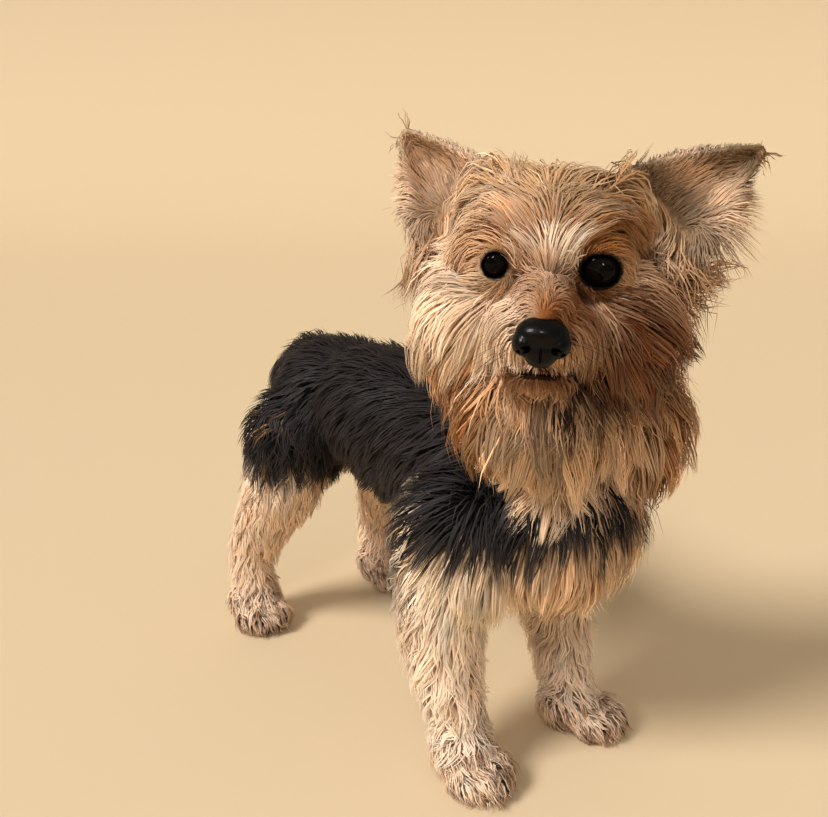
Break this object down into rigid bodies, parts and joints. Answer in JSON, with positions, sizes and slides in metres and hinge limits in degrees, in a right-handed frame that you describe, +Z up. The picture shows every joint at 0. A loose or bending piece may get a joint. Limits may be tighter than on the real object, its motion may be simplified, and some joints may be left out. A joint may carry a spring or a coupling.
{
  "type": "yorkshire terrier",
  "caption": "Life-size still model of a small long-coated terrier, standing with its head turned to its right, with upright fringed ears, full beard and ruff.",
  "frame": {"origin": "on the floor under the middle of the model's box", "axes": "+Z up; -Y the way the body faces; +X the dog's left side"},
  "size_m": [0.168, 0.3644, 0.3153],
  "materials": {
    "tan_coat": "soft tan hair",
    "cream_coat": "soft cream-tan hair",
    "steel_coat": "dark steel-grey hair",
    "nose_leather": "moist black nose skin",
    "eye_gloss": "wet dark eye"
  },
  "bodies": {
    "root": {"head": "tan_coat", "neck": "tan_coat", "torso": "steel_coat", "tail": "steel_coat", "ear_left": "tan_coat", "ear_right": "tan_coat", "eye_left": "eye_gloss", "eye_right": "eye_gloss", "nose": "nose_leather", "front_leg_left": "cream_coat", "front_leg_right": "cream_coat", "hind_leg_left": "cream_coat", "hind_leg_right": "cream_coat", "front_paw_left": "cream_coat", "front_paw_right": "cream_coat", "hind_paw_left": "cream_coat", "hind_paw_right": "cream_coat"}
  },
  "joints": []
}
